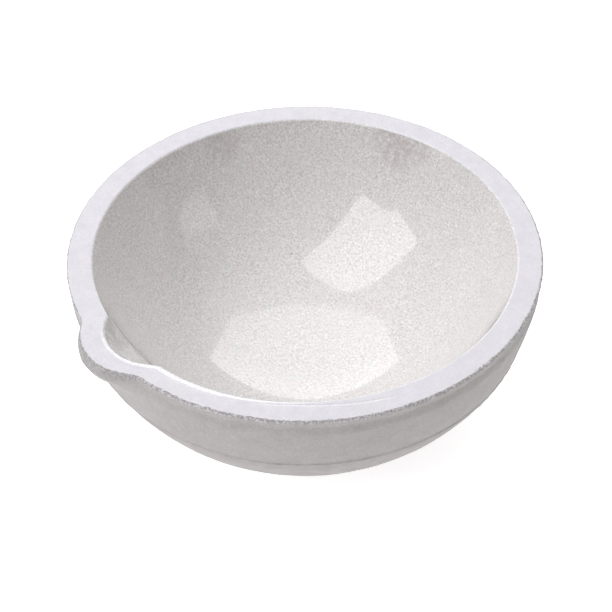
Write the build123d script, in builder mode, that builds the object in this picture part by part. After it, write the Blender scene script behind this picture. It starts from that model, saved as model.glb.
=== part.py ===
from build123d import *
import os
from math import atan2, cos, sin, sqrt

# A pouring dish moulded in opaque fused silica: a thick round bowl with a flat
# ground rim, a small pouring lip, a glassy lining and a sintered-sand crust.
# Millimetres, +Z up. The origin is the centre of the flat base, on the axis of
# the bowl. The pouring lip points towards -Y.

# ---------------------------------------------------------------- dimensions
rim_radius = 50.2  # outside of the crust at the ground rim
dish_height = 38.0  # base to rim plane
base_radius = 24.0  # edge of the flat base

cavity_radius = 45.0  # bowl wall at the rim plane, before its edge is rounded
cavity_depth = 30.0  # rim plane to the lowest point of the bowl
cavity_power = 3.5  # how flat the bowl's floor is
glaze = 0.6  # thickness of the glassy lining
glaze_top = 37.3  # the lining stops here, below the rounded rim edge
rim_edge = 0.4  # radius of the rounded inner edge of the rim

crust = 0.6  # thickness of the sintered-sand crust
ridge_height = 22.5  # lower edge of the crust, the parting ridge
ridge_step = 0.3  # how far the crust stands proud below its edge

# outside of the crust, (radius, height), from the rim down to the ridge
crust_outline = [
    (49.80, 35.8),
    (49.92, 34.3),
    (49.60, 32.0),
    (48.80, 28.0),
    (47.30, ridge_height),
]
# outside of the bare foot, from the ridge down to the base
foot_outline = [
    (47.30 - ridge_step, ridge_height),
    (46.15, 20.0),
    (44.95, 17.8),
    (42.90, 14.6),
    (40.05, 11.0),
    (36.95, 7.6),
    (33.2, 4.7),
    (29.0, 2.1),
    (base_radius, 0.0),
]

# pouring lip: (height, distance of its centre from the bowl axis, radius)
lip_sections = [
    (dish_height, 44.4, 10.4),
    (35.6, 43.6, 10.2),
    (33.2, 42.4, 9.8),
    (31.0, 41.2, 9.3),
    (28.0, 39.4, 8.5),
    (25.5, 37.6, 7.9),
]
# pouring channel in the lip, the same way
channel_sections = [
    (dish_height + 1.0, 38.8, 11.0),
    (dish_height, 38.6, 10.2),
    (35.5, 38.0, 7.9),
    (33.0, 36.9, 5.6),
    (31.0, 35.6, 3.9),
]


def cavity_point(radius, inset=0.0):
    """A point of the bowl's wall, moved into the material by inset."""
    ratio = radius / cavity_radius
    height = dish_height - cavity_depth * (1 - ratio**cavity_power)
    slope = cavity_depth * cavity_power / cavity_radius * ratio ** (cavity_power - 1)
    length = sqrt(1 + slope**2)
    return (radius + inset * slope / length, height - inset / length)


def cavity_outline(inset=0.0):
    """Points of the bowl's wall from the axis to just above the rim plane."""
    radii = [0.0, 8.0, 15.0, 21.0, 26.0, 30.0, 33.5, 36.5, 39.0, 41.2, 43.0, 44.5, 45.7]
    return [cavity_point(r, inset) for r in radii]


# ------------------------------------------------------------ forming shapes
# Outside of the crust, with the lip.
with BuildPart() as crust_form:
    with BuildSketch(Plane.XZ):
        with BuildLine():
            Polyline(
                (0, ridge_height),
                (0, dish_height),
                (rim_radius, dish_height),
                (rim_radius, dish_height - 0.5),
                crust_outline[0],
            )
            Spline(*crust_outline)
            Line(crust_outline[-1], (0, ridge_height))
        make_face()
    revolve(axis=Axis.Z)
    for lip_height, lip_offset, lip_radius in lip_sections:
        with BuildSketch(Plane.XY.offset(lip_height)):
            with Locations((0, -lip_offset)):
                Circle(lip_radius)
    loft()

# Outside of the silica itself: inside the crust above the ridge, bare below.
with BuildPart() as core_form:
    with BuildSketch(Plane.XZ):
        with BuildLine():
            Polyline(
                (0, 0),
                (0, dish_height),
                (rim_radius - crust, dish_height),
                (rim_radius - crust, dish_height - 0.5),
                (crust_outline[0][0] - crust, crust_outline[0][1]),
            )
            Spline(*[(r - crust, z) for r, z in crust_outline])
            Line((crust_outline[-1][0] - crust, ridge_height), foot_outline[0])
            Spline(*foot_outline)
            Line(foot_outline[-1], (0, 0))
        make_face()
    revolve(axis=Axis.Z)
    for lip_height, lip_offset, lip_radius in lip_sections:
        with BuildSketch(Plane.XY.offset(lip_height)):
            with Locations((0, -lip_offset)):
                Circle(lip_radius - crust)
    loft()

# The hollow of the finished dish: bowl and pouring channel.
with BuildPart() as hollow_form:
    with BuildSketch(Plane.XZ):
        with BuildLine():
            hollow_wall = Spline(*cavity_outline())
            Line(hollow_wall @ 1, (0, (hollow_wall @ 1).Y))
            Line((0, (hollow_wall @ 1).Y), hollow_wall @ 0)
        make_face()
    revolve(axis=Axis.Z)
    for cut_height, cut_offset, cut_radius in channel_sections:
        with BuildSketch(Plane.XY.offset(cut_height)):
            with Locations((0, -cut_offset)):
                Circle(cut_radius)
    loft()

# The same hollow before the lining is in it, up to the lining's edge.
with BuildPart() as lining_form:
    with BuildSketch(Plane.XZ):
        with BuildLine():
            lining_wall = Spline(*cavity_outline(glaze))
            Line(lining_wall @ 1, (0, (lining_wall @ 1).Y))
            Line((0, (lining_wall @ 1).Y), lining_wall @ 0)
        make_face()
    revolve(axis=Axis.Z)
    for cut_height, cut_offset, cut_radius in channel_sections:
        with BuildSketch(Plane.XY.offset(cut_height)):
            with Locations((0, -cut_offset)):
                Circle(cut_radius + glaze)
    loft()
    split(bisect_by=Plane.XY.offset(glaze_top), keep=Keep.BOTTOM)

# ---------------------------------------------------------------- the layers
# The load-carrying wall, with the rounded inner edge of its ground rim.
with BuildPart() as silica_body:
    add(core_form.part)
    add(lining_form.part, mode=Mode.SUBTRACT)
    add(hollow_form.part, mode=Mode.SUBTRACT)
    ground_rim = silica_body.faces().filter_by(Axis.Z).sort_by(Axis.Z)[-1]
    fillet(ground_rim.inner_wires()[0].edges(), radius=rim_edge)
silica_body.part.label = "silica_body"

# The glassy lining of the bowl and the channel.
with BuildPart() as inner_glaze:
    add(lining_form.part)
    add(hollow_form.part, mode=Mode.SUBTRACT)
inner_glaze.part.label = "inner_glaze"

# The sintered-sand crust round the outside, from the rim to the ridge.
with BuildPart() as sand_skin:
    add(crust_form.part)
    add(core_form.part, mode=Mode.SUBTRACT)
sand_skin.part.label = "sand_skin"

os.makedirs("parts", exist_ok=True)
export_step(silica_body.part, "parts/silica_body.step")
export_step(inner_glaze.part, "parts/inner_glaze.step")
export_step(sand_skin.part, "parts/sand_skin.step")

for piece in (silica_body, inner_glaze, sand_skin):
    print(piece.part.label, len(piece.part.solids()), round(piece.part.volume), piece.part.bounding_box())
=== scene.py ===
import math

import bpy
import numpy as np
from mathutils import Matrix, Vector


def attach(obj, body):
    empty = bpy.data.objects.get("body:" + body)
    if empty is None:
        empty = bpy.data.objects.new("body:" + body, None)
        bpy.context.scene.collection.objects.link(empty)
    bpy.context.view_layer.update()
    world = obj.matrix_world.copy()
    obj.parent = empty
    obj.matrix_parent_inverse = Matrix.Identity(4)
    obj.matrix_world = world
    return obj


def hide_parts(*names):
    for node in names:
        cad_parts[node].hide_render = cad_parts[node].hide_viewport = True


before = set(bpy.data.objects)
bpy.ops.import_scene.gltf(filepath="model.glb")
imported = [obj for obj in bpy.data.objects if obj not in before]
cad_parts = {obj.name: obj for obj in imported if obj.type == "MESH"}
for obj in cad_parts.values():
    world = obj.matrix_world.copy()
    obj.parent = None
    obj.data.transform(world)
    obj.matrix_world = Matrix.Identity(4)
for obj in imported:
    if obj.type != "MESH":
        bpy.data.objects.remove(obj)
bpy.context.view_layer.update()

MM = 0.001
TAU = 2 * math.pi

# ----------------------------------------------------------------------------
# Design dimensions, millimetres, the same as the CAD model's
# ----------------------------------------------------------------------------
RIM_R = 50.15
TOP = 38.0
CAV_R = 45.0
CAV_D = 30.0
CAV_P = 3.5
GLAZE = 0.6
GLAZE_TOP = 37.3
CRUST = 0.6
RIDGE_Z = 22.5
RIDGE_STEP = 0.3
BASE_R = 24.0
CRUST_LINE = [(50.15, 38.0), (50.12, 37.3), (49.88, 36.4), (49.80, 35.7), (49.92, 34.3), (49.60, 32.0),
              (48.80, 28.0), (47.30, RIDGE_Z)]
FOOT_LINE = [(47.30 - RIDGE_STEP, RIDGE_Z), (46.15, 20.0), (44.95, 17.8), (42.90, 14.6), (40.05, 11.0), (36.95, 7.6),
             (33.2, 4.7), (29.0, 2.1), (BASE_R, 0.0)]
# height, distance of the centre from the axis, radius
LIP = [(38.0, 44.4, 10.4), (35.6, 43.6, 10.2), (33.2, 42.4, 9.8), (31.0, 41.2, 9.3), (28.0, 39.4, 8.5), (25.5, 37.6, 7.9)]
CHANNEL = [(39.0, 38.7, 10.5), (38.0, 38.6, 10.2), (36.8, 38.5, 9.5), (35.5, 38.2, 8.4), (33.5, 37.4, 6.3), (31.6, 36.2, 4.3)]
SPOUT = -math.pi / 2  # the lip points towards -Y
FAR = math.radians(142.5)  # the mouth of the bowl sits a quarter of a millimetre towards this side

# Round the dish: degrees from the lip towards +X, and millimetres there.
# The worn shoulder outside the ground flat, how wide and how deep it is
SHOULDER_W = [(-180, 0.22), (-150, 0.12), (-80, 0.12), (-30, 0.15), (-14, 0.2), (-11, 0.3), (-8.8, 0.5), (-6, 0.8),
              (-4, 1.1), (-2, 1.4), (0, 1.5), (3, 1.55), (7, 1.6), (9, 1.3), (11, 0.8), (14, 0.5), (30, 0.45),
              (110, 0.45), (140, 0.3)]
SHOULDER_H = [(-180, 0.3), (-150, 0.2), (-30, 0.25), (-12, 0.5), (-6, 1.3), (0, 1.8), (8, 1.7), (12, 0.9),
              (18, 0.5), (110, 0.5), (150, 0.35)]
# how crumbly the edge of the crust is
CRUMBLE = [(-180, 0.45), (-150, 0.2), (-30, 0.3), (-10, 0.6), (10, 0.8), (20, 1.0), (110, 1.0), (150, 0.6)]
# the fine seam on the ground flat beside the rounded inner edge: where it runs and how deep it is
SEAM_R = [(-180, 46.0), (0, 47.6), (5, 46.95), (9, 46.7), (18, 46.45), (29, 46.3), (40, 45.85), (51, 45.6), (60, 45.95), (73, 46.7),
          (80, 46.9)]
SEAM_D = [(-180, 0), (2, 0), (8, 0.4), (28, 0.6), (42, 1.0), (70, 1.0), (75, 0)]
# the rounded inner edge of the rim
ROUND_W = [(-180, 0.3), (-14, 0.3), (-10, 0.42), (-6, 0.72), (-2, 0.86), (3, 0.9), (5.5, 1.2), (9, 1.6), (20, 1.7),
           (30, 1.6), (38, 1.35), (46, 0.85), (54, 0.45), (60, 0.3), (100, 0.3)]


# ----------------------------------------------------------------------------
# Small numeric tools
# ----------------------------------------------------------------------------
def spline(points, count):
    """A natural cubic spline through the points, as count points evenly spaced along it."""
    p = np.array(points, float)
    d = np.hypot(*np.diff(p, axis=0).T)
    t = np.concatenate([[0], np.cumsum(d)])
    n = len(t)
    h = np.diff(t)
    m = np.zeros((n, n))
    rhs = np.zeros((n, 2))
    m[0, 0] = m[-1, -1] = 1
    for i in range(1, n - 1):
        m[i, i - 1], m[i, i], m[i, i + 1] = h[i - 1], 2 * (h[i - 1] + h[i]), h[i]
        rhs[i] = 6 * ((p[i + 1] - p[i]) / h[i] - (p[i] - p[i - 1]) / h[i - 1])
    c = np.linalg.solve(m, rhs)

    def at(s):
        i = np.clip(np.searchsorted(t, s, side="right") - 1, 0, n - 2)
        a, b, hh = t[i], t[i + 1], h[i]
        u, v = ((b - s) / hh)[:, None], ((s - a) / hh)[:, None]
        hh = hh[:, None]
        return (u * p[i] + v * p[i + 1]
                + ((u**3 - u) * c[i] + (v**3 - v) * c[i + 1]) * hh**2 / 6)

    fine = at(np.linspace(0, t[-1], 2000))
    length = np.concatenate([[0], np.cumsum(np.hypot(*np.diff(fine, axis=0).T))])
    want = np.linspace(0, length[-1], count)
    return np.stack([np.interp(want, length, fine[:, k]) for k in (0, 1)], 1)


def smooth_max(a, b, k):
    h = np.maximum(k - np.abs(a - b), 0) / k
    return np.maximum(a, b) + h * h * k / 4


def step(x, lo, hi):
    t = np.clip((x - lo) / (hi - lo), 0, 1)
    return t * t * (3 - 2 * t)


def _hash(ix, iy, iz, seed):
    h = (ix * 73856093) ^ (iy * 19349663) ^ (iz * 83492791) ^ (seed * 2654435761 & 0x7FFFFFFF)
    h &= 0xFFFFFFFF
    h = ((h ^ (h >> 15)) * 2246822519) & 0xFFFFFFFF
    h = ((h ^ (h >> 13)) * 3266489917) & 0xFFFFFFFF
    h ^= h >> 16
    return (h & 0xFFFFFF) / float(0xFFFFFF)


def noise(p, size, seed):
    """Smooth value noise from -1 to 1 at points p, in millimetres, with cells of that size."""
    q = p / size + 1000.0
    i = np.floor(q).astype(np.int64)
    f = q - i
    f = f * f * f * (f * (f * 6 - 15) + 10)
    out = np.zeros(p.shape[:-1])
    for dx in (0, 1):
        for dy in (0, 1):
            for dz in (0, 1):
                w = ((f[..., 0] if dx else 1 - f[..., 0])
                     * (f[..., 1] if dy else 1 - f[..., 1])
                     * (f[..., 2] if dz else 1 - f[..., 2]))
                out += w * _hash(i[..., 0] + dx, i[..., 1] + dy, i[..., 2] + dz, seed)
    return out * 2 - 1


def grains(p, size, seed):
    """Distance to the nearest of randomly placed points, as rounded grains from 0 to 1."""
    q = p / size + 1000.0
    i = np.floor(q).astype(np.int64)
    best = np.full(p.shape[:-1], 9.0)
    for dx in (-1, 0, 1):
        for dy in (-1, 0, 1):
            for dz in (-1, 0, 1):
                c = (i[..., 0] + dx, i[..., 1] + dy, i[..., 2] + dz)
                d = ((c[0] + _hash(*c, seed) - q[..., 0])**2
                     + (c[1] + _hash(*c, seed + 1) - q[..., 1])**2
                     + (c[2] + _hash(*c, seed + 2) - q[..., 2])**2)
                best = np.minimum(best, d)
    return 1 - np.clip(np.sqrt(best), 0, 1)


# ----------------------------------------------------------------------------
# The shape of the dish, as a distance from the axis at each direction and height
# ----------------------------------------------------------------------------
def directions(count, crowd=1.2):
    """Angles round the dish, closer together at the pouring lip."""
    a = np.linspace(-math.pi, math.pi, 4001)
    density = 1 + crowd * np.exp(-(a / 0.26)**2)
    c = np.concatenate([[0], np.cumsum((density[1:] + density[:-1]) / 2)])
    c /= c[-1]
    return SPOUT + np.interp(np.arange(count) / count, c, a)


def circle_reach(phi, z, sections, inset=0.0):
    """How far out a row of circles reaches in each direction, at heights z."""
    s = np.array(sorted(sections))
    centre = np.interp(z, s[:, 0], s[:, 1])
    radius = np.interp(z, s[:, 0], s[:, 2]) + inset
    d = (phi - SPOUT + math.pi) % TAU - math.pi
    side = centre * np.sin(np.clip(d, -1.5, 1.5))
    inside = radius**2 - side**2
    reach = centre * np.cos(d) + np.sign(inside) * np.sqrt(np.abs(inside))
    reach = np.where(np.abs(d) < 1.2, reach, -50.0)
    return np.where(z >= s[0, 0], reach, np.where(z < s[0, 0] - 1.0, -50.0, reach))


def by_angle(phi, table):
    """A value that a table gives by the degrees from the lip."""
    t = np.array(table, float)
    d = np.degrees((phi - SPOUT + math.pi) % TAU - math.pi)
    return sum(np.interp(d + k, t[:, 0], t[:, 1], period=360) for k in (-1.5, -0.5, 0.5, 1.5)) / 4


def outer(phi, r, z, inset=0.0):
    """Outside of the dish with its lip blended in, more softly on one flank."""
    lip = circle_reach(phi, z, LIP, -inset)
    d = (phi - SPOUT + math.pi) % TAU - math.pi
    return smooth_max(r - inset, lip, 4.0 - 1.4 * step(d, -0.06, 0.06))


def flat_edge(phi):
    """Where the ground flat ends and the shoulder begins."""
    r = outer(phi, np.full(phi.shape, RIM_R), np.full(phi.shape, TOP))
    return r - by_angle(phi, SHOULDER_W)


def on_rim(phi, size, seed):
    """Noise along the rim's edge."""
    return noise(to_xyz(phi, np.full(phi.shape, 50.0), 0.0), size, seed)


def cavity_r(z):
    return CAV_R * (np.maximum((z - (TOP - CAV_D)) / CAV_D, 0))**(1 / CAV_P)


def cavity_z(r):
    return TOP - CAV_D * (1 - (r / CAV_R)**CAV_P)


def inner(phi, r, z, inset=0.0):
    """Wall of the bowl with the pouring channel cut into it."""
    cut = circle_reach(phi, z, CHANNEL, inset)
    r = r + 0.25 * np.cos(phi - FAR) * step(z, 31.0, 37.5)
    d = (phi - SPOUT + math.pi) % TAU - math.pi
    return smooth_max(r, cut, 0.8 + 0.9 * step(d, -0.02, 0.12) + (2.2 + 1.6 * step(d, -0.12, 0.06)) * step(TOP - z, 0.2, 2.2))


def rim_round(phi):
    """Width and depth of the rounded inner edge of the rim: wider to the side of the lip."""
    wide = by_angle(phi, ROUND_W) + 0.05 * on_rim(phi, 3.0, 61) + 0.03 * on_rim(phi, 0.9, 62)
    return wide, 0.30 + 0.45 * np.maximum(wide - 0.3, 0)


def grid_mesh(name, rows, closed_bottom=None, closed_top=None):
    """A mesh from rows of points round the axis (rows, columns, 3), with optional end caps."""
    rows = np.asarray(rows)
    n_rows, n_cols, _ = rows.shape
    verts = rows.reshape(-1, 3)
    i = np.arange(n_rows - 1)[:, None] * n_cols
    j = np.arange(n_cols)[None]
    j2 = (j + 1) % n_cols
    quads = np.stack([i + j, i + j2, i + n_cols + j2, i + n_cols + j], -1).reshape(-1, 4)
    faces = [quads]
    extra = []
    loops, sizes = [quads.ravel()], [np.full(len(quads), 4)]
    for at, centre in ((0, closed_bottom), (n_rows - 1, closed_top)):
        if centre is None:
            continue
        k = len(verts) + len(extra)
        extra.append(centre)
        ring = at * n_cols + np.arange(n_cols)
        nxt = np.roll(ring, -1)
        tri = np.stack([nxt, ring, np.full(n_cols, k)], 1) if at == 0 else np.stack([ring, nxt, np.full(n_cols, k)], 1)
        loops.append(tri.ravel())
        sizes.append(np.full(n_cols, 3))
    if extra:
        verts = np.concatenate([verts, np.array(extra, float)])
    loops, sizes = np.concatenate(loops), np.concatenate(sizes)
    mesh = bpy.data.meshes.new(name)
    mesh.vertices.add(len(verts))
    mesh.vertices.foreach_set("co", (verts * MM).astype(np.float32).ravel())
    mesh.loops.add(len(loops))
    mesh.loops.foreach_set("vertex_index", loops.astype(np.int32))
    mesh.polygons.add(len(sizes))
    starts = np.concatenate([[0], np.cumsum(sizes)[:-1]])
    mesh.polygons.foreach_set("loop_start", starts.astype(np.int32))
    mesh.polygons.foreach_set("loop_total", sizes.astype(np.int32))
    mesh.polygons.foreach_set("use_smooth", np.ones(len(sizes), bool))
    mesh.update(calc_edges=True)
    mesh.validate()
    ob = bpy.data.objects.new(name, mesh)
    bpy.context.scene.collection.objects.link(ob)
    return ob


def to_xyz(phi, r, z):
    phi, r, z = np.broadcast_arrays(phi, r, z)
    return np.stack([r * np.cos(phi), r * np.sin(phi), z], -1)


def row_normals(p):
    """Outward normals of a grid of rows round the axis, whose rows run downwards outside."""
    along = np.gradient(p, axis=0)
    wide = np.concatenate([p[:, -1:], p, p[:, :1]], 1)
    around = (wide[:, 2:] - wide[:, :-2]) / 2
    n = np.cross(around, along)
    return n / np.maximum(np.linalg.norm(n, axis=-1, keepdims=True), 1e-12)


# ----------------------------------------------------------------------------
# Materials
# ----------------------------------------------------------------------------
class Nodes:
    """A short way to write a node tree."""

    def __init__(self, name):
        self.mat = bpy.data.materials.new(name)
        self.mat.use_nodes = True
        self.tree = self.mat.node_tree
        self.tree.nodes.clear()
        self.out = self.add("ShaderNodeOutputMaterial")
        self.bsdf = self.add("ShaderNodeBsdfPrincipled")
        self.tree.links.new(self.bsdf.outputs[0], self.out.inputs["Surface"])
        self.where = self.add("ShaderNodeTexCoord").outputs["Object"]

    def add(self, kind, **props):
        node = self.tree.nodes.new(kind)
        for k, v in props.items():
            setattr(node, k, v)
        return node

    def feed(self, socket, value):
        if isinstance(value, bpy.types.NodeSocket):
            self.tree.links.new(value, socket)
        elif value is not None:
            socket.default_value = value

    def noise(self, size_mm, detail=2.0, rough=0.5, where=None, distort=0.0):
        n = self.add("ShaderNodeTexNoise")
        self.feed(n.inputs["Vector"], where or self.where)
        n.inputs["Scale"].default_value = 1000.0 / size_mm
        n.inputs["Detail"].default_value = detail
        n.inputs["Roughness"].default_value = rough
        n.inputs["Distortion"].default_value = distort
        return n.outputs["Fac"]

    def cells(self, size_mm, feature="F1", out="Distance", random=1.0, where=None):
        n = self.add("ShaderNodeTexVoronoi", feature=feature)
        self.feed(n.inputs["Vector"], where or self.where)
        n.inputs["Scale"].default_value = 1000.0 / size_mm
        n.inputs["Randomness"].default_value = random
        return n.outputs[out]

    def math(self, op, a, b=0.0, clamp=False):
        n = self.add("ShaderNodeMath", operation=op, use_clamp=clamp)
        self.feed(n.inputs[0], a)
        self.feed(n.inputs[1], b)
        return n.outputs[0]

    def span(self, value, lo, hi, to_lo=0.0, to_hi=1.0, smooth=False):
        n = self.add("ShaderNodeMapRange", interpolation_type="SMOOTHSTEP" if smooth else "LINEAR")
        self.feed(n.inputs["Value"], value)
        for key, v in (("From Min", lo), ("From Max", hi), ("To Min", to_lo), ("To Max", to_hi)):
            self.feed(n.inputs[key], v)
        return n.outputs["Result"]

    def ramp(self, value, stops):
        n = self.add("ShaderNodeValToRGB")
        ramp = n.color_ramp
        while len(ramp.elements) < len(stops):
            ramp.elements.new(0.5)
        for e, (at, colour) in zip(ramp.elements, stops):
            e.position = at
            e.color = (*colour, 1.0)
        self.feed(n.inputs["Fac"], value)
        return n.outputs["Color"]

    def mix(self, factor, a, b, kind="MIX"):
        n = self.add("ShaderNodeMix", data_type="RGBA", blend_type=kind)
        self.feed(n.inputs[0], factor)
        for socket, v in ((n.inputs[6], a), (n.inputs[7], b)):
            self.feed(socket, v if isinstance(v, bpy.types.NodeSocket) else (*v, 1.0))
        return n.outputs[2]

    def bump(self, height, strength, distance_mm, normal=None):
        n = self.add("ShaderNodeBump")
        n.inputs["Strength"].default_value = strength
        n.inputs["Distance"].default_value = distance_mm * MM
        self.feed(n.inputs["Height"], height)
        if normal is not None:
            self.feed(n.inputs["Normal"], normal)
        return n.outputs["Normal"]


def ground_silica():
    """The ground rim: opaque white, finely mottled, satin."""
    m = Nodes("ground_silica")
    mottle = m.noise(2.6, 4.0, 0.6)
    fine = m.noise(0.55, 3.0, 0.7)
    tint = m.noise(9.0, 2.0, 0.5)
    base = m.ramp(mottle, [(0.34, (0.705, 0.694, 0.738)), (0.50, (0.735, 0.723, 0.766)), (0.66, (0.765, 0.753, 0.796))])
    base = m.mix(m.span(fine, 0.45, 0.70, 0.0, 0.48), base, (0.62, 0.61, 0.64))
    base = m.mix(m.span(tint, 0.42, 0.66, 0.0, 0.10), base, (0.745, 0.715, 0.715))
    pits = m.cells(1.9, random=1.0)
    pit = m.span(pits, 0.05, 0.10, 1.0, 0.0)
    base = m.mix(m.math("MULTIPLY", pit, 0.30), base, (0.50, 0.49, 0.50))
    m.feed(m.bsdf.inputs["Base Color"], base)
    m.feed(m.bsdf.inputs["Roughness"], m.span(fine, 0.25, 0.75, 0.42, 0.62))
    m.bsdf.inputs["IOR"].default_value = 1.46
    n = m.bump(fine, 0.30, 0.08)
    n = m.bump(m.math("SUBTRACT", 1.0, pit), 0.35, 0.10, n)
    m.feed(m.bsdf.inputs["Normal"], n)
    return m.mat


def glassy_lining():
    """The lining: clear glass over pale sintered grains, so a glossy, finely speckled surface."""
    m = Nodes("glassy_lining")
    grain = m.noise(0.48, 3.0, 0.75)
    grain2 = m.noise(0.30, 2.0, 0.6, distort=0.4)
    warp = m.noise(1.3, 2.0, 0.5)
    cloud = m.noise(8.0, 3.0, 0.55)
    pink = m.noise(4.5, 2.0, 0.6)
    green = m.noise(3.6, 2.0, 0.6, distort=0.6)
    speck = m.math("ADD", m.math("MULTIPLY", grain, 0.60), m.math("MULTIPLY", grain2, 0.40))
    base = m.ramp(speck, [(0.38, (0.545, 0.527, 0.515)), (0.50, (0.757, 0.738, 0.725)), (0.62, (0.965, 0.945, 0.930))])
    base = m.mix(m.span(cloud, 0.35, 0.68, 0.0, 0.18), base, (0.83, 0.815, 0.81))
    base = m.mix(m.span(warp, 0.52, 0.74, 0.0, 0.16), base, (0.66, 0.65, 0.64))
    base = m.mix(m.span(pink, 0.52, 0.70, 0.0, 0.26), base, (0.80, 0.72, 0.69))
    base = m.mix(m.span(green, 0.53, 0.72, 0.0, 0.24), base, (0.70, 0.745, 0.72))
    # Three darker patches near the rim: two pinkish-brown ones on the -X side of the bowl, away from the lip, and a
    # grey one on the -X flank of the pouring channel, which is painted shade where the channel's wall lies in shadow.
    patch = m.noise(1.6, 3.0, 0.7)
    for centre, size, strength, colour in (((-16.6, 41.1, 36.6), 9.5, 0.62, (0.52, 0.455, 0.445)),
                                           ((-43.0, 9.1, 35.2), 6.0, 0.40, (0.52, 0.455, 0.445)),
                                           ((-6.0, -46.0, 35.5), 8.0, 0.62, (0.49, 0.475, 0.465))):
        away = m.add("ShaderNodeVectorMath", operation="DISTANCE")
        m.feed(away.inputs[0], m.where)
        away.inputs[1].default_value = [c * MM for c in centre]
        near = m.span(away.outputs["Value"], 0.35 * size * MM, size * MM, strength, 0.0, smooth=True)
        patch_and_painted_shade = m.math("MULTIPLY", near, m.span(patch, 0.40, 0.56, 0.15, 1.0))
        base = m.mix(patch_and_painted_shade, base, colour)
    pits = m.cells(8.5)
    pit = m.span(pits, 0.020, 0.034, 1.0, 0.0)
    base = m.mix(m.math("MULTIPLY", pit, 0.8), base, (0.16, 0.14, 0.13))
    m.feed(m.bsdf.inputs["Base Color"], base)
    m.feed(m.bsdf.inputs["Roughness"], m.span(grain2, 0.3, 0.7, 0.16, 0.26))
    m.bsdf.inputs["IOR"].default_value = 1.46
    m.bsdf.inputs["Specular IOR Level"].default_value = 0.15
    m.bsdf.inputs["Coat Weight"].default_value = 1.0
    m.bsdf.inputs["Coat Roughness"].default_value = 0.006
    m.bsdf.inputs["Coat IOR"].default_value = 1.6
    m.feed(m.bsdf.inputs["Normal"], m.bump(grain, 0.10, 0.05))
    return m.mat


def glossy_edge_painted_highlight():
    """The rounded inner edge of the rim, smooth and glossy; its base colour, whiter than the ground flat, is a painted
    highlight along the edge.
    """
    m = Nodes("glossy_edge_painted_highlight")
    grain = m.noise(0.55, 3.0, 0.7)
    base = m.ramp(grain, [(0.36, (0.74, 0.73, 0.75)), (0.50, (0.84, 0.83, 0.85)), (0.62, (0.92, 0.91, 0.93))])
    m.feed(m.bsdf.inputs["Base Color"], base)
    m.feed(m.bsdf.inputs["Roughness"], m.span(grain, 0.3, 0.7, 0.20, 0.34))
    m.bsdf.inputs["IOR"].default_value = 1.46
    m.bsdf.inputs["Coat Weight"].default_value = 0.6
    m.bsdf.inputs["Coat Roughness"].default_value = 0.05
    m.feed(m.bsdf.inputs["Normal"], m.bump(grain, 0.15, 0.05))
    return m.mat


def sintered_sand():
    """The crust: matt, grey sintered sand, crumbly white and dark grains at the edge of the rim."""
    m = Nodes("sintered_sand")
    grain = m.cells(0.55)
    fine = m.noise(0.40, 3.0, 0.75)
    mottle = m.noise(3.5, 4.0, 0.6)
    tint = m.noise(12.0, 2.0, 0.5)
    base = m.ramp(mottle, [(0.34, (0.377, 0.360, 0.355)), (0.50, (0.404, 0.386, 0.381)), (0.66, (0.432, 0.413, 0.408))])
    base = m.mix(m.span(grain, 0.30, 0.62, 0.0, 0.30), base, (0.31, 0.298, 0.295))
    base = m.mix(m.span(fine, 0.50, 0.68, 0.0, 0.42), base, (0.56, 0.545, 0.545))
    base = m.mix(m.span(tint, 0.45, 0.70, 0.0, 0.15), base, (0.415, 0.388, 0.378))
    up = m.add("ShaderNodeSeparateXYZ")
    m.feed(up.inputs[0], m.where)
    edge = m.span(up.outputs["Z"], 37.1 * MM, 37.75 * MM, 0.0, 1.0, smooth=True)
    loose = m.noise(0.45, 2.0, 0.6)
    edge = m.math("MULTIPLY", edge, m.span(up.outputs["Y"], -51.5 * MM, -48.0 * MM, 0.40, 1.0, smooth=True))
    bright = m.span(loose, 0.48, 0.58, 0.0, 0.70)
    base = m.mix(m.math("MULTIPLY", edge, bright), base, (0.70, 0.69, 0.72))
    dark = m.span(loose, 0.38, 0.47, 0.42, 0.0)
    base = m.mix(m.math("MULTIPLY", edge, dark), base, (0.25, 0.24, 0.24))
    # Painted shade: a dark line just above the ridge step, where the step's shadow falls, fainter towards the lip.
    line = m.span(m.math("ADD", up.outputs["Z"], m.math("MULTIPLY", mottle, 0.0006)), (RIDGE_Z + 0.45) * MM, (RIDGE_Z + 0.95) * MM, 0.42, 0.0)
    line = m.math("MULTIPLY", line, m.span(up.outputs["Y"], -42.0 * MM, -30.0 * MM, 0.45, 1.0, smooth=True))
    base = m.mix(line, base, (0.20, 0.185, 0.18))
    m.feed(m.bsdf.inputs["Base Color"], base)
    m.feed(m.bsdf.inputs["Roughness"], m.span(fine, 0.3, 0.7, 0.70, 0.92))
    m.bsdf.inputs["IOR"].default_value = 1.45
    n = m.bump(m.math("SUBTRACT", 1.0, grain), 0.35, 0.10)
    n = m.bump(fine, 0.35, 0.08, n)
    m.feed(m.bsdf.inputs["Normal"], n)
    return m.mat


def bare_foot():
    """The foot below the ridge: the same silica, less sandy, faintly warm."""
    m = Nodes("bare_foot")
    fine = m.noise(0.50, 3.0, 0.7)
    mottle = m.noise(3.0, 4.0, 0.6)
    tint = m.noise(10.0, 2.0, 0.5)
    base = m.ramp(mottle, [(0.34, (0.355, 0.336, 0.333)), (0.50, (0.383, 0.363, 0.360)), (0.66, (0.412, 0.392, 0.388))])
    base = m.mix(m.span(fine, 0.55, 0.75, 0.0, 0.22), base, (0.50, 0.49, 0.49))
    base = m.mix(m.span(tint, 0.45, 0.70, 0.0, 0.15), base, (0.43, 0.40, 0.39))
    m.feed(m.bsdf.inputs["Base Color"], base)
    m.feed(m.bsdf.inputs["Roughness"], m.span(fine, 0.3, 0.7, 0.62, 0.82))
    m.bsdf.inputs["IOR"].default_value = 1.45
    m.feed(m.bsdf.inputs["Normal"], m.bump(fine, 0.4, 0.08))
    return m.mat


FLOOR_GLOW = 0.62


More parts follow.
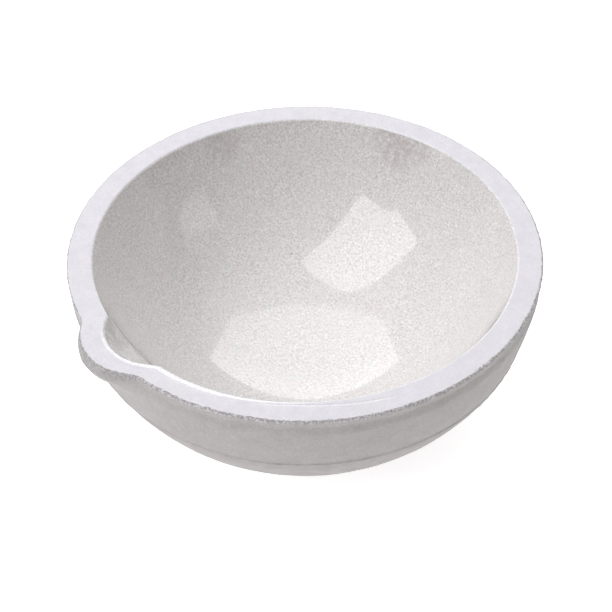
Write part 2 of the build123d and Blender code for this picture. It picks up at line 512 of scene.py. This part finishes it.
def white_floor():
    m = Nodes("floor_paper")
    n = m.noise(30.0, 3.0, 0.5)
    m.feed(m.bsdf.inputs["Base Color"], m.ramp(n, [(0.3, (0.95, 0.95, 0.95)), (0.7, (0.965, 0.965, 0.965))]))
    m.bsdf.inputs["Roughness"].default_value = 0.9
    m.bsdf.inputs["Specular IOR Level"].default_value = 0.0
    m.bsdf.inputs["Emission Color"].default_value = (1.0, 1.0, 1.0, 1.0)
    m.bsdf.inputs["Emission Strength"].default_value = FLOOR_GLOW
    return m.mat


def glow(name, colour, strength):
    mat = bpy.data.materials.new(name)
    mat.use_nodes = True
    tree = mat.node_tree
    tree.nodes.clear()
    out = tree.nodes.new("ShaderNodeOutputMaterial")
    e = tree.nodes.new("ShaderNodeEmission")
    e.inputs["Color"].default_value = (*colour, 1.0)
    e.inputs["Strength"].default_value = strength
    tree.links.new(e.outputs[0], out.inputs["Surface"])
    return mat


# ----------------------------------------------------------------------------
# Pieces
# ----------------------------------------------------------------------------
def bulge(phi, z, line):
    """Outside of the crust; the lip keeps its full reach down to the foot of its shoulder."""
    r = np.interp(z, line[::-1, 1], line[::-1, 0])
    deep = np.maximum(by_angle(phi, SHOULDER_H) - 0.5, 0)
    raised = np.minimum(z + deep * np.exp(-(np.maximum(TOP - deep - 0.5 - z, 0) / 2.6)**2), TOP)
    return outer(phi, r, np.where(deep > 0, raised, z))


def make_crust():
    """The sintered-sand crust: grainy outside, worn shoulder and ragged edge at the ground rim."""
    n = 1150
    phi = directions(n)[None]
    line = spline(CRUST_LINE, 400)
    wide, deep = by_angle(phi, SHOULDER_W), by_angle(phi, SHOULDER_H)
    rough = by_angle(phi, CRUMBLE)
    rows_r, rows_z = [], []
    for t in np.linspace(0, 1, 9)[:-1]:
        z = TOP - deep * (1 - math.cos(t * math.pi / 2))
        rows_z.append(z)
        rows_r.append(bulge(phi, z, line) - wide * (1 - math.sin(t * math.pi / 2)))
    fine = np.linspace(0, 0.12, 12)
    for u in np.concatenate([fine, np.linspace(0.12, 1, 52)[1:]]):
        z = (TOP - deep) * (1 - u) + RIDGE_Z * u
        rows_z.append(z)
        rows_r.append(bulge(phi, z, line))
    r, z = np.concatenate(rows_r), np.concatenate(rows_z)
    big = to_xyz(phi, r, z)
    normal = row_normals(big)
    near_top = np.exp(-((TOP - z) / 1.1)**2) * rough
    near_ridge = np.exp(-((z - RIDGE_Z) / 0.5)**2)
    g = grains(big, 0.75, 11)
    g2 = grains(big, 0.55, 13)
    wave = noise(big, 5.0, 3)
    push = (0.075 * (g - 0.62) + 0.035 * noise(big, 0.6, 7) + 0.04 * wave - 0.02
            + near_top * (0.24 * (g2 - 0.62) + 0.10 * noise(big, 0.6, 5) - 0.01)
            - np.exp(-((z - RIDGE_Z - 0.25) / 0.33)**2) * (0.22 + 0.06 * noise(big, 1.2, 9)) + near_ridge * 0.04 * wave)
    top = big + normal * push[..., None]
    # a few lost grains along the edge of the flat
    lost = step(noise(big, 0.8, 21) + 0.4 * noise(big, 0.4, 22), 0.25, 0.9)
    top[..., 2] -= 0.30 * near_top * lost * step(z, TOP - 1.2, TOP - 0.3)
    top[..., 2] = np.minimum(top[..., 2], TOP - 0.012)
    # its edge on the flat is ragged
    ragged = (0.17 * on_rim(phi, 0.6, 71) + 0.12 * on_rim(phi, 1.4, 72)) * rough
    edge_r = flat_edge(phi) + ragged
    top[0] = to_xyz(phi, edge_r, TOP - 0.012)[0]
    # hidden inner side, from the ridge back up to the rim
    back = []
    for zb in (RIDGE_Z, 25.0, 28.0, 31.0, 34.0):
        back.append(to_xyz(phi, outer(phi, np.full((1, n), np.interp(zb, line[::-1, 1], line[::-1, 0])), zb, CRUST), zb))
    back.append(to_xyz(phi, edge_r, TOP - 0.6))
    rows = np.concatenate([top] + back + [top[:1]])
    rows[..., 0] = np.clip(rows[..., 0], -50.18, 50.18)
    rows[..., 1] = np.clip(rows[..., 1], -54.79, 50.18)
    return rows


def make_body():
    """The silica wall: base, bare foot, ground rim and rounded inner edge."""
    n = 880
    phi = directions(n)[None]
    rows = []
    for r in (6.0, 13.0, 19.0, 22.6):
        rows.append(to_xyz(phi, np.full((1, n), r), 0.0))
    foot = spline(FOOT_LINE, 46)[::-1]
    r, z = foot[:, 0][:, None], foot[:, 1][:, None]
    p = to_xyz(phi, r + 0 * phi, z)
    normal = -row_normals(p)
    inward = 0.07 * grains(p, 0.8, 31) + 0.05 * noise(p, 4.0, 32) + 0.03 * noise(p, 0.6, 33) - 0.11
    inward = inward * step(z, 0.0, 0.8)
    p = p + normal * inward[..., None]
    p[..., 2] = np.maximum(p[..., 2], 0.0)
    rows.append(p)
    # under the crust
    line = spline(CRUST_LINE, 64)[::-1][[0, 12, 24, 36, 48, 56]]
    rc, zc = line[:, 0][:, None], line[:, 1][:, None]
    sil = outer(phi, np.full((1, n), RIM_R), np.full((1, n), TOP))
    r_out = np.minimum(flat_edge(phi) + 0.10, sil - 0.05)
    rows.append(to_xyz(phi, np.minimum(outer(phi, rc, zc, CRUST + 0.02), r_out), zc))
    rows.append(to_xyz(phi, r_out, TOP - 0.5))
    rows.append(to_xyz(phi, r_out, TOP - 0.05))
    # the ground rim
    edge, depth = rim_round(phi)
    z0 = TOP - depth
    r_top = inner(phi, cavity_r(TOP + 0 * phi), TOP + 0 * phi) + edge
    r_flat = flat_edge(phi)
    seam_r, seam_d = by_angle(phi, SEAM_R), 0.10 * by_angle(phi, SEAM_D)
    flat_rows = [r_flat + (r_top + 1.9 - r_flat) * t for t in np.linspace(0.0, 1.0, 13)]
    flat_rows += [r_top + 1.9 * (1 - t) for t in np.linspace(0.0, 1.0, 13)[1:]]
    for k, r in enumerate(flat_rows):
        q = to_xyz(phi, r, TOP)
        dip = 0.032 + 0.018 * noise(q, 3.0, 41) + 0.012 * noise(q, 0.7, 42)
        q[..., 2] -= np.maximum(dip, 0.026 if k < 2 else 0.0) + seam_d * np.exp(-((r - seam_r) / 0.15)**2)
        rows.append(q)
    # the rounded inner edge
    for a in np.linspace(0.10, 1.0, 11):
        lift = np.cos(a * math.pi / 2)
        zz = z0 + depth * lift
        rr = inner(phi, cavity_r(zz), zz) + edge * (1 - np.sqrt(np.maximum(1 - lift**2, 0)))
        q = to_xyz(phi, rr, zz)
        q[..., 2] -= 0.03 * (1 - a)
        rows.append(q)
    # behind the lining
    for zz in np.linspace(36.2, 31.5, 5):
        rr = inner(phi, cavity_r(np.full((1, n), zz)), np.full((1, n), zz), GLAZE) + GLAZE
        rows.append(to_xyz(phi, rr, zz))
    for rr in (38.0, 34.0, 28.0, 20.0, 12.0, 5.0):
        rows.append(to_xyz(phi, np.full((1, n), rr), cavity_z(rr) - GLAZE * 1.2))
    return np.concatenate(rows), (0, 0, 0), (0, 0, TOP - CAV_D - GLAZE * 1.2)


def make_lining():
    """The glassy lining of bowl and channel, closed by its hidden side."""
    n = 620
    phi = directions(n, 2.0)[None]
    _, depth = rim_round(phi)
    # radii from the rounded edge down to the centre, closer together at the wall
    z_top = TOP - depth
    rows = []
    for k, u in enumerate(np.linspace(0, 1, 125)):
        if u < 0.36:
            zz = z_top + (30.6 - z_top) * (u / 0.36)
            rr = cavity_r(zz)
        else:
            v = (u - 0.36) / 0.64
            rr = np.full((1, n), cavity_r(30.6) * (1 - v) + 0.6 * v)
            zz = cavity_z(rr)
        rows.append(to_xyz(phi, inner(phi, rr, zz), zz))
    p = np.concatenate(rows)
    wave = (0.012 * noise(p, 9.0, 51) + 0.0025 * noise(p, 2.5, 52)) * step(TOP - p[..., 2], 1.5, 4.0)
    normal = row_normals(p)
    p = p - normal * wave[..., None]
    # hidden side, back up to the edge
    back = []
    for rr in (6.0, 14.0, 22.0, 30.0, 36.0):
        back.append(to_xyz(phi, np.full((1, n), rr), cavity_z(rr) - GLAZE))
    for zz in (30.0, 32.0, 34.0, 35.6):
        back.append(to_xyz(phi, inner(phi, cavity_r(np.full((1, n), zz)), np.full((1, n), zz), GLAZE) + GLAZE * 0.9, zz))
    rows = np.concatenate([np.concatenate(back), p])
    return rows, p[-1].mean(0), p


def piece(name, rows, bottom, top, material, node):
    ob = grid_mesh(name, rows, bottom, top)
    ob.data.materials.append(material)
    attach(ob, "root")
    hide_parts(node)
    return ob


def weld_closed(ob):
    import bmesh
    bm = bmesh.new()
    bm.from_mesh(ob.data)
    bmesh.ops.remove_doubles(bm, verts=bm.verts, dist=2e-6)
    bmesh.ops.recalc_face_normals(bm, faces=bm.faces)
    bm.to_mesh(ob.data)
    bm.free()


crust_rows = make_crust()
crust = piece("crust_outside", crust_rows, None, None, sintered_sand(), "sand_skin")
body_rows, body_bottom, body_top = make_body()
body = piece("silica_wall", body_rows, body_bottom, body_top, ground_silica(), "silica_body")


def lining_piece():
    rows, _, p = make_lining()
    n_back = len(rows) - len(p)
    back, front = rows[:n_back], rows[n_back:]
    # one closed shell: hidden side from its centre up to the edge, then the bowl side down to its centre
    order = np.concatenate([back, front])
    ob = piece("bowl_lining", order, (0, 0, TOP - CAV_D - GLAZE), (0, 0, TOP - CAV_D),
               glassy_lining(), "inner_glaze")
    return ob


lining = lining_piece()
for ob in (crust, body, lining):
    weld_closed(ob)
body.data.materials.append(bare_foot())
# the third material, on the rounded inner edge, carries its painted highlight
body.data.materials.append(glossy_edge_painted_highlight())
n_faces = len(body.data.polygons)
at, way = np.empty(n_faces * 3), np.empty(n_faces * 3)
body.data.polygons.foreach_get("center", at)
body.data.polygons.foreach_get("normal", way)
at, way = at.reshape(-1, 3) / MM, way.reshape(-1, 3)
reach = np.hypot(at[:, 0], at[:, 1])
inward = -(way[:, 0] * at[:, 0] + way[:, 1] * at[:, 1]) / np.maximum(reach, 0.001)
broad = by_angle(np.arctan2(at[:, 1], at[:, 0]), ROUND_W)
slot = np.zeros(n_faces, np.int32)
slot[at[:, 2] < RIDGE_Z + 0.4] = 1
slot[(at[:, 2] > 34) & (at[:, 2] < TOP - 0.05) & (inward > np.where(broad > 1.0, 0.04, 0.16)) & (reach < 49.6) & (way[:, 2] > -0.3)] = 2
body.data.polygons.foreach_set("material_index", slot)
body.data.update()

# ----------------------------------------------------------------------------
# Floor, light and camera
# ----------------------------------------------------------------------------
scene = bpy.context.scene
scene.view_settings.view_transform = "Standard"
scene.view_settings.look = "None"
scene.view_settings.exposure = 0.0
scene.view_settings.gamma = 1.0

bpy.ops.mesh.primitive_grid_add(x_subdivisions=8, y_subdivisions=8, size=6.0, location=(0, 0, -0.00002))
floor = bpy.context.object
floor.name = "floor"
floor.data.materials.append(white_floor())


def pale_wall(radius, height, columns=96):
    """A plain pale backdrop round the stage, seen by the camera only, so it neither lights nor shades the dish."""
    a = np.arange(columns) / columns * TAU
    ring = np.stack([radius * np.cos(a), radius * np.sin(a), np.zeros(columns)], 1)
    verts = np.concatenate([ring, ring + [0, 0, height]])
    faces = [(k, (k + 1) % columns, columns + (k + 1) % columns, columns + k) for k in range(columns)]
    mesh = bpy.data.meshes.new("backdrop")
    mesh.from_pydata(verts.tolist(), [], faces)
    ob = bpy.data.objects.new("backdrop", mesh)
    scene.collection.objects.link(ob)
    ob.data.materials.append(glow("backdrop_paper", (1.0, 1.0, 1.0), 1.0))
    ob.visible_diffuse = ob.visible_glossy = ob.visible_transmission = ob.visible_volume_scatter = ob.visible_shadow = False


pale_wall(2.9, 4.0)

CENTRE = Vector((0, 0, TOP * MM))
VIEW_AZ = math.radians(52.5)
VIEW_EL = math.radians(41.24)
DIST = 0.35
VIEW_ROLL = 0.85
FOCAL_PX = 1652.5


def sky(azimuth, elevation):
    """A direction from the dish: azimuth clockwise from straight behind it, as the camera sees it."""
    a = VIEW_AZ - math.radians(azimuth)
    c = math.cos(math.radians(elevation))
    back = Vector((-math.sin(a), math.cos(a), 0))
    return back * c + Vector((0, 0, math.sin(math.radians(elevation))))


def panel(name, outline, centre_dir, distance, colour, strength):
    """A flat glowing panel whose outline is seen from the bowl in the given directions."""
    n = sky(*centre_dir)
    pts = []
    for d in outline:
        v = sky(*d)
        pts.append(CENTRE * 0.5 + v * (distance / max(v.dot(n), 0.15)))
    mesh = bpy.data.meshes.new(name)
    mesh.from_pydata([tuple(p) for p in pts], [], [tuple(range(len(pts)))])
    mesh.update()
    ob = bpy.data.objects.new(name, mesh)
    scene.collection.objects.link(ob)
    ob.data.materials.append(glow(name + "_glow", colour, strength))
    ob.visible_camera = False
    return ob


panel("softbox_left", [(168.6, 82.0), (-168.0, 71.1), (-157.2, 61.6), (-151.6, 51.1), (-150.4, 44.2), (-146.9, 37.4),
                       (-144.7, 30.8), (-141.4, 27.0), (-138.1, 27.7), (-130.2, 28.1), (-121.8, 28.4), (-117.5, 24.4),
                       (-113.0, 25.4), (-105.9, 26.2), (-97.5, 25.7), (-93.7, 27.9), (-92.8, 36.9), (-88.7, 44.6),
                       (-78.2, 56.1), (-56.1, 63.6), (-33.1, 66.0), (-21.8, 67.1), (-22.5, 72.2), (-20.2, 81.6),
                       (171.8, 88.4)],
      (-114, 55.7), 0.9, (1.0, 0.985, 1.01), 2.75)
panel("softbox_back", [(24.4, 36), (24.9, 38.9), (25.2, 43.0), (28.0, 50.2), (28.7, 52.8), (19.2, 55.4), (10.6, 56.5), (1.3, 56.2),
                       (-4.9, 55.9), (-13.1, 54.9), (-26.7, 52.7), (-24.5, 47.0), (-22.8, 37.7), (-22.3, 36)],
      (0, 30), 1.0, (1.0, 1.0, 1.0), 1.9)
panel("softbox_back_low", [(24.0, 3), (24.4, 36), (-22.3, 36), (-20.0, 3)], (0, 30), 1.0, (1.0, 1.0, 1.0), 2.3)
panel("fill_right", [(104.0, 13.9), (110.4, 14.0), (114.8, 14.6), (117.7, 17.3), (119.2, 19.9), (120.4, 23.1), (120.3, 26.8),
                     (118.6, 30.4), (106.9, 28.4), (95.9, 23.9), (96.6, 16.4)],
      (108, 21), 1.0, (1.0, 1.0, 1.0), 1.0)

world = bpy.data.worlds.new("studio")
scene.world = world
world.use_nodes = True
sky_tree = world.node_tree
bg = sky_tree.nodes["Background"]
bg.inputs["Color"].default_value = (1.0, 1.0, 1.0, 1.0)
toward = sky_tree.nodes.new("ShaderNodeTexCoord").outputs["Generated"]


def soft_light(azimuth, elevation, strength, total):
    """Adds to the world's light a broad glow from one side."""
    def node(op, a, b):
        n = sky_tree.nodes.new("ShaderNodeMath")
        n.operation = op
        sky_tree.links.new(a, n.inputs[0])
        if isinstance(b, float):
            n.inputs[1].default_value = b
        else:
            sky_tree.links.new(b, n.inputs[1])
        return n.outputs[0]

    dot = sky_tree.nodes.new("ShaderNodeVectorMath")
    dot.operation = "DOT_PRODUCT"
    sky_tree.links.new(toward, dot.inputs[0])
    dot.inputs[1].default_value = sky(azimuth, elevation)
    part = node("MULTIPLY", node("POWER", node("MAXIMUM", dot.outputs["Value"], 0.0), 2.0), strength)
    return part if total is None else node("ADD", part, total)


total = None
for azimuth, elevation, strength in ((0, 30, 0.40), (90, 30, 0.10), (-90, 30, 0.36), (0, 90, 0.54)):
    total = soft_light(azimuth, elevation, strength, total)
sky_tree.links.new(total, bg.inputs["Strength"])

cam_data = bpy.data.cameras.new("camera")
cam = bpy.data.objects.new("camera", cam_data)
scene.collection.objects.link(cam)
cam_data.sensor_fit = "HORIZONTAL"
cam_data.sensor_width = 36.0
cam_data.lens = FOCAL_PX * 36.0 / 612.0
cam_data.clip_start = 0.01
cam_data.clip_end = 50.0
cam.location = CENTRE + DIST * Vector((math.cos(VIEW_EL) * math.sin(VIEW_AZ), -math.cos(VIEW_EL) * math.cos(VIEW_AZ), math.sin(VIEW_EL)))
aim = (CENTRE - cam.location).normalized()
base_rot = aim.to_track_quat("-Z", "Y").to_matrix()
dx, dy = (304.8 - 306.0) / FOCAL_PX, (306.0 - 247.8) / FOCAL_PX
turn = Matrix.Rotation(-math.atan(dy), 3, "X") @ Matrix.Rotation(math.atan(dx), 3, "Y")
lean = Matrix.Rotation(math.radians(-VIEW_ROLL), 3, "Z")
cam.rotation_euler = (base_rot @ lean @ turn).to_euler()
scene.camera = cam
